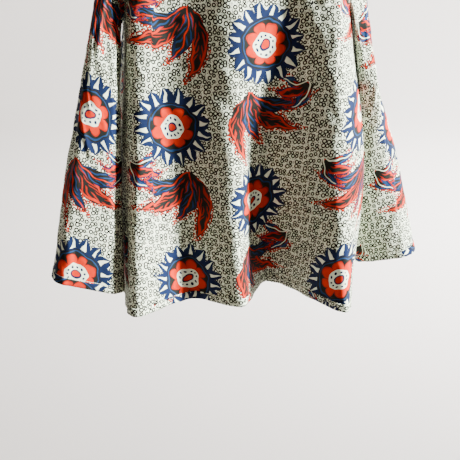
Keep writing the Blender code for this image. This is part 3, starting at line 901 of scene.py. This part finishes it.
def printed_cotton(look):
    """Plain-woven cotton with a wax-type print: dye lies in the threads, so the cloth stays matt,
    with a faint glaze that only shows as a soft sheen at low angles."""
    made = bpy.data.materials.get("Wax-printed cotton")
    if made:
        return made
    made, tree = new_material("Wax-printed cotton")
    colours = {name: (*getattr(look, name), 1.0) for name in DYES}

    # The cloth's own millimetres, plain and with the slow sway of a drawing by hand
    cloth = add_node(tree, "ShaderNodeUVMap", uv_map="cloth")
    flat = add_node(tree, "ShaderNodeVectorMath", [(0, cloth), (3, 1000.0)], operation="SCALE")
    wobble = add_node(
        tree, "ShaderNodeTexNoise", [("Vector", flat), ("Scale", 0.055), ("Detail", 0.6)],
        noise_dimensions="2D",
    )
    drift = add_node(
        tree, "ShaderNodeVectorMath", [(0, wobble.outputs["Color"]), (1, (0.5, 0.5, 0.5))],
        operation="SUBTRACT",
    )
    drawn = add_node(
        tree, "ShaderNodeVectorMath", [(0, drift), (1, (9.0, 9.0, 0.0)), (2, flat)],
        operation="MULTIPLY_ADD",
    )
    edges = add_node(tree, "ShaderNodeUVMap", uv_map="edges")
    known = {
        "column_step": look.motif_column * 1000, "row_step": look.motif_row * 1000,
        "hem_width": look.hem_width, "threads": math.tau / THREAD_STEP, "tau": math.tau,
    }
    for vector, u, v in ((drawn, "u", "v"), (flat, "fu", "fv"), (edges, "hem_u", "hem_v")):
        axes = add_node(tree, "ShaderNodeSeparateXYZ", [(0, vector)])
        known[u], known[v] = axes.outputs[:2]
    work_out(tree, LATTICE, known)

    pebble = add_node(
        tree, "ShaderNodeTexVoronoi",
        [("Vector", flat), ("Scale", 0.001 / look.pebble_step), ("Randomness", 0.52)],
        voronoi_dimensions="2D",
    )
    sizes = add_node(tree, "ShaderNodeSeparateColor", [(0, pebble.outputs["Color"])])
    specks = add_node(
        tree, "ShaderNodeTexVoronoi", [("Vector", flat), ("Scale", 0.33), ("Randomness", 0.9)],
        voronoi_dimensions="2D",
    )
    known.update(
        away=pebble.outputs["Distance"], size=sizes.outputs[0], near=specks.outputs["Distance"]
    )
    work_out(tree, GROUND, known)

    # Dyes are laid over the cream cloth one after another, each where its mask is 1
    layers = [(known["ground_dark"], "dark")]
    for fan, dyes in zip(FANS, FAN_DYES):
        leaf = dict(known, **fan._asdict())
        work_out(tree, POLAR, leaf)
        work_out(tree, FAN, leaf)
        for part, dye in zip(LEAF_LAYERS, dyes):
            layers.append((leaf[f"leaf_{part}" if part else "leaf"], dye))
    rose = dict(known, **ROSE)
    work_out(tree, POLAR, rose)
    work_out(tree, ROSETTE, rose)
    layers += [(rose[part], dye) for part, dye in ROSETTE_DYES.items()]
    colour = colours["cream"]
    for mask, dye in layers:
        colour = add_node(
            tree, "ShaderNodeMix", [("Factor", mask), (6, colour), (7, colours[dye])],
            data_type="RGBA",
        ).outputs[2]

    # Dye is never quite even
    uneven = add_node(
        tree, "ShaderNodeTexNoise", [("Vector", flat), ("Scale", 0.12), ("Detail", 3.0)],
        noise_dimensions="2D",
    )
    shade = add_node(tree, "ShaderNodeMapRange", [
        (0, uneven), (1, 0.3), (2, 0.7), (3, 0.88), (4, 1.04),
    ])
    colour = add_node(tree, "ShaderNodeVectorMath", [(0, colour), (3, shade)], operation="SCALE")

    work_out(tree, STITCHES, known)
    colour = add_node(
        tree, "ShaderNodeMix", [("Factor", known["stitch"]), (6, colour), (7, colours["cream"])],
        data_type="RGBA",
    ).outputs[2]
    bump = add_node(tree, "ShaderNodeBump", [
        ("Strength", 0.5), ("Distance", 0.0005), ("Height", known["height"]),
    ])
    shader = add_node(tree, "ShaderNodeBsdfPrincipled", [
        ("Base Color", colour), ("Roughness", 0.82), ("IOR", 1.46), ("Specular IOR Level", 0.12),
        ("Sheen Weight", 0.04), ("Sheen Roughness", 0.5), ("Normal", bump),
    ])
    add_node(tree, "ShaderNodeOutputMaterial", [(0, shader)])
    return made


def beech_wood(look):
    """Beech under satin varnish: fine brown flecks and faint growth lines along the bar show
    through a clear coat that takes a soft highlight."""
    made, tree = new_material("Varnished beech")
    place = add_node(tree, "ShaderNodeTexCoord").outputs["Object"]
    known = {}
    for name, stretch, detail in (
        ("grain", (18.0, 240.0, 240.0), 6.0),
        ("fleck", (300.0, 1500.0, 1500.0), 2.0),
    ):
        long = add_node(
            tree, "ShaderNodeVectorMath", [(0, place), (1, stretch)], operation="MULTIPLY"
        )
        known[name] = add_node(
            tree, "ShaderNodeTexNoise", [("Vector", long), ("Scale", 1.0), ("Detail", detail)]
        )
    work_out(tree, """
        fleck_on GREATER_THAN fleck 0.62
        fleck_part MULTIPLY fleck_on 0.35
        tone ADD grain fleck_part
    """, known)
    pale = (*look.wood, 1.0)
    deep = (*(0.55 * v for v in look.wood), 1.0)
    spread = add_node(
        tree, "ShaderNodeMapRange", [(0, known["tone"]), (1, 0.35), (2, 0.85), (3, 0.0), (4, 1.0)]
    )
    colour = add_node(
        tree, "ShaderNodeMix", [("Factor", spread), (6, pale), (7, deep)], data_type="RGBA"
    )
    shader = add_node(tree, "ShaderNodeBsdfPrincipled", [
        ("Base Color", colour.outputs[2]), ("Roughness", 0.45), ("IOR", 1.5),
        ("Coat Weight", 0.6), ("Coat Roughness", 0.25),
    ])
    add_node(tree, "ShaderNodeOutputMaterial", [(0, shader)])
    return made


def plated_wire(look):
    """Bright zinc-nickel plating on drawn wire: a smooth metal whose roughness varies faintly in
    small cloudy patches.
    """
    made, tree = new_material("Plated steel wire")
    place = add_node(tree, "ShaderNodeTexCoord").outputs["Object"]
    cloudy = add_node(
        tree, "ShaderNodeTexNoise", [("Vector", place), ("Scale", 180.0), ("Detail", 3.0)]
    )
    rough = add_node(tree, "ShaderNodeMapRange", [
        (0, cloudy), (1, 0.3), (2, 0.7), (3, 0.16), (4, 0.30),
    ])
    shader = add_node(tree, "ShaderNodeBsdfPrincipled", [
        ("Base Color", (*look.steel, 1.0)), ("Metallic", 1.0), ("Roughness", rough),
    ])
    add_node(tree, "ShaderNodeOutputMaterial", [(0, shader)])
    return made


def metres(name, description, default):
    """A length that the sidebar can change."""
    return FloatProperty(name=name, description=description, default=default, unit="LENGTH")


def tint(name, description, hex_colour):
    """A colour that the sidebar can change."""
    return FloatVectorProperty(
        name=name, description=description, subtype="COLOR", default=linear(hex_colour)
    )


class BlouseLook(bpy.types.PropertyGroup):
    """Sizes and colours of cloth, print and hanger"""

    cloth_thickness: metres("Cloth thickness", "Thickness of the cotton", 0.0005)
    hem_width: metres("Hem width", "Depth of the turned hems", 0.012)
    pebble_step: metres("Pebble spacing", "Distance between the rings of the ground", 0.0078)
    motif_column: metres("Motif columns", "Distance between columns of motifs", 0.168)
    motif_row: metres("Motif rows", "Distance between motifs down a column", 0.250)
    cream: tint("Cream", "Undyed ground", "#e3ead3")
    navy: tint("Navy", "Dark blue dye", "#0d1b3c")
    blue: tint("Blue", "Middle blue dye", "#17365f")
    orange: tint("Orange", "Orange dye", "#bf2200")
    red: tint("Red", "Red-orange dye", "#a01802")
    dark: tint("Dark", "Near-black dye", "#1b1a17")
    wood: tint("Wood", "Beech under varnish", "#c99a63")
    steel: tint("Steel", "Plated wire", "#c9cacc")
    pale: tint("Floor", "Plain studio floor", "#f3efec")


class BLOUSE_OT_panels(bpy.types.Operator):
    """Front and back of printed cotton, with creases, seams and turned edges"""

    bl_idname = "blouse.panels"
    bl_label = "Front and back"

    def execute(self, context):
        look = context.scene.blouse_look
        cotton = printed_cotton(look)
        for name, side, neck_drop, armhole, seed, flat_size, area, shift in (
            (
                "front", FRONT, FRONT_NECK_DROP, FRONT_ARMHOLE_HALF, 11,
                (0.661, 0.704), 0.3015, (0.034, 0.052),
            ),
            (
                "back", BACK, BACK_NECK_DROP, BACK_ARMHOLE_HALF, 12,
                (0.582, 0.694), 0.305, (0.095, 0.140),
            ),
        ):
            parts = panel_parts(name, side, neck_drop, armhole, seed, shift)
            made = cloth_object(f"blouse_{name}", parts, look.cloth_thickness, cotton)
            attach(made, "root")
            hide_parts(name)
        return {"FINISHED"}


class BLOUSE_OT_sleeves(bpy.types.Operator):
    """Both sleeves of printed cotton, with creases, seams and turned cuffs"""

    bl_idname = "blouse.sleeves"
    bl_label = "Sleeves"

    def execute(self, context):
        look = context.scene.blouse_look
        cotton = printed_cotton(look)
        for name, sign, seed, flat_size, area, shift in (
            ("sleeve_left", -1.0, 21, (0.300, 0.592), 0.117, (0.020, 0.085)),
            ("sleeve_right", 1.0, 22, (0.294, 0.589), 0.1095, (0.088, 0.030)),
        ):
            parts = sleeve_parts(name, sign, seed, shift)
            made = cloth_object(f"blouse_{name}", parts, look.cloth_thickness, cotton)
            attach(made, "root")
            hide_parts(name)
        return {"FINISHED"}


class BLOUSE_OT_hanger(bpy.types.Operator):
    """Finishes of the wooden bar and its wire hook"""

    bl_idname = "blouse.hanger"
    bl_label = "Hanger"

    def execute(self, context):
        look = context.scene.blouse_look
        for name, make in (("hanger_bar", beech_wood), ("hanger_hook", plated_wire)):
            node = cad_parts[name]
            node.data.materials.clear()
            node.data.materials.append(make(look))
        return {"FINISHED"}


class BLOUSE_OT_stage(bpy.types.Operator):
    """Pale floor, soft lights and the camera of the photograph"""

    bl_idname = "blouse.stage"
    bl_label = "Stage"

    def execute(self, context):
        look = context.scene.blouse_look
        scene = context.scene
        floor = bpy.data.meshes.new("floor")
        reach = np.linspace(FIRST_RING, FLOOR_REACH + WALL_HEIGHT, FLOOR_RINGS)
        reach = np.concatenate([[0.0], reach])
        bend = FLOOR_REACH - FLOOR_LEVEL
        rise = np.clip((reach - FLOOR_LEVEL) / bend, 0, 1) * math.pi / 2
        out = np.minimum(reach, FLOOR_LEVEL) + bend * np.sin(rise)
        high = FLOOR_Z + bend * (1 - np.cos(rise)) + np.maximum(reach - FLOOR_REACH, 0.0)
        turn = np.arange(FLOOR_SIDES) * math.tau / FLOOR_SIDES
        bowl = np.stack(np.broadcast_arrays(
            out * np.cos(turn)[:, None], out * np.sin(turn)[:, None], high
        ), axis=-1)
        quads = grid_faces(FLOOR_SIDES, len(reach), True, True)
        floor.from_pydata(bowl.reshape(-1, 3).tolist(), [], quads.tolist())
        floor.shade_smooth()
        paint = bpy.data.materials.new("Studio floor")
        paint.use_nodes = True
        shader = paint.node_tree.nodes["Principled BSDF"]
        shader.inputs["Base Color"].default_value = (*look.pale, 1.0)
        shader.inputs["Roughness"].default_value = 0.9
        floor.materials.append(paint)
        ground = bpy.data.objects.new("floor", floor)
        scene.collection.objects.link(ground)

        for row in LAMPS:
            light = bpy.data.lights.new(row.name, row.kind)
            if row.kind == "SPOT":
                light.shadow_soft_size = row.size / 2
                light.spot_size = math.radians(18.0)
                light.spot_blend = 0.6
            else:
                light.size = row.size
            light.energy = row.power
            light.color = row.colour
            lamp = bpy.data.objects.new(row.name, light)
            turn, rise = math.radians(row.right), math.radians(row.above)
            lamp.location = Vector(MIDDLE) + row.away * Vector((
                math.sin(turn) * math.cos(rise), -math.cos(turn) * math.cos(rise), math.sin(rise)
            ))
            ahead = Vector(row.aim) - lamp.location
            lamp.rotation_euler = ahead.to_track_quat("-Z", "Y").to_euler()
            scene.collection.objects.link(lamp)

        world = bpy.data.worlds.new("studio")
        world.use_nodes = True
        glow = world.node_tree.nodes["Background"]
        glow.inputs["Color"].default_value = (1.0, 0.82, 0.58, 1.0)
        glow.inputs["Strength"].default_value = 0.09
        scene.world = world

        lens = bpy.data.cameras.new("camera")
        lens.sensor_width = 36.0
        lens.lens = 67.18
        lens.clip_start = 0.05
        view = bpy.data.objects.new("camera", lens)
        view.location = (-0.006, -1.3315, -0.251)
        view.rotation_euler = (math.radians(72.0), 0.0, 0.0)
        scene.collection.objects.link(view)
        scene.camera = view
        return {"FINISHED"}


class BLOUSE_PT_sidebar(bpy.types.Panel):
    """Sizes, colours and pieces of the blouse"""

    bl_idname = "BLOUSE_PT_sidebar"
    bl_label = "Blouse"
    bl_space_type = "VIEW_3D"
    bl_region_type = "UI"
    bl_category = "Blouse"

    def draw(self, context):
        look = context.scene.blouse_look
        for key in BlouseLook.__annotations__:
            self.layout.prop(look, key)
        for operator in OPERATORS:
            self.layout.operator(operator.bl_idname)


OPERATORS = (BLOUSE_OT_panels, BLOUSE_OT_sleeves, BLOUSE_OT_hanger, BLOUSE_OT_stage)
CLASSES = (BlouseLook, *OPERATORS, BLOUSE_PT_sidebar)


def register():
    for cls in CLASSES:
        bpy.utils.register_class(cls)
    bpy.types.Scene.blouse_look = PointerProperty(type=BlouseLook)


def unregister():
    del bpy.types.Scene.blouse_look
    for cls in reversed(CLASSES):
        bpy.utils.unregister_class(cls)


def main():
    register()
    bpy.ops.blouse.panels()
    bpy.ops.blouse.sleeves()
    bpy.ops.blouse.hanger()
    bpy.ops.blouse.stage()


if __name__ == "__main__":
    main()
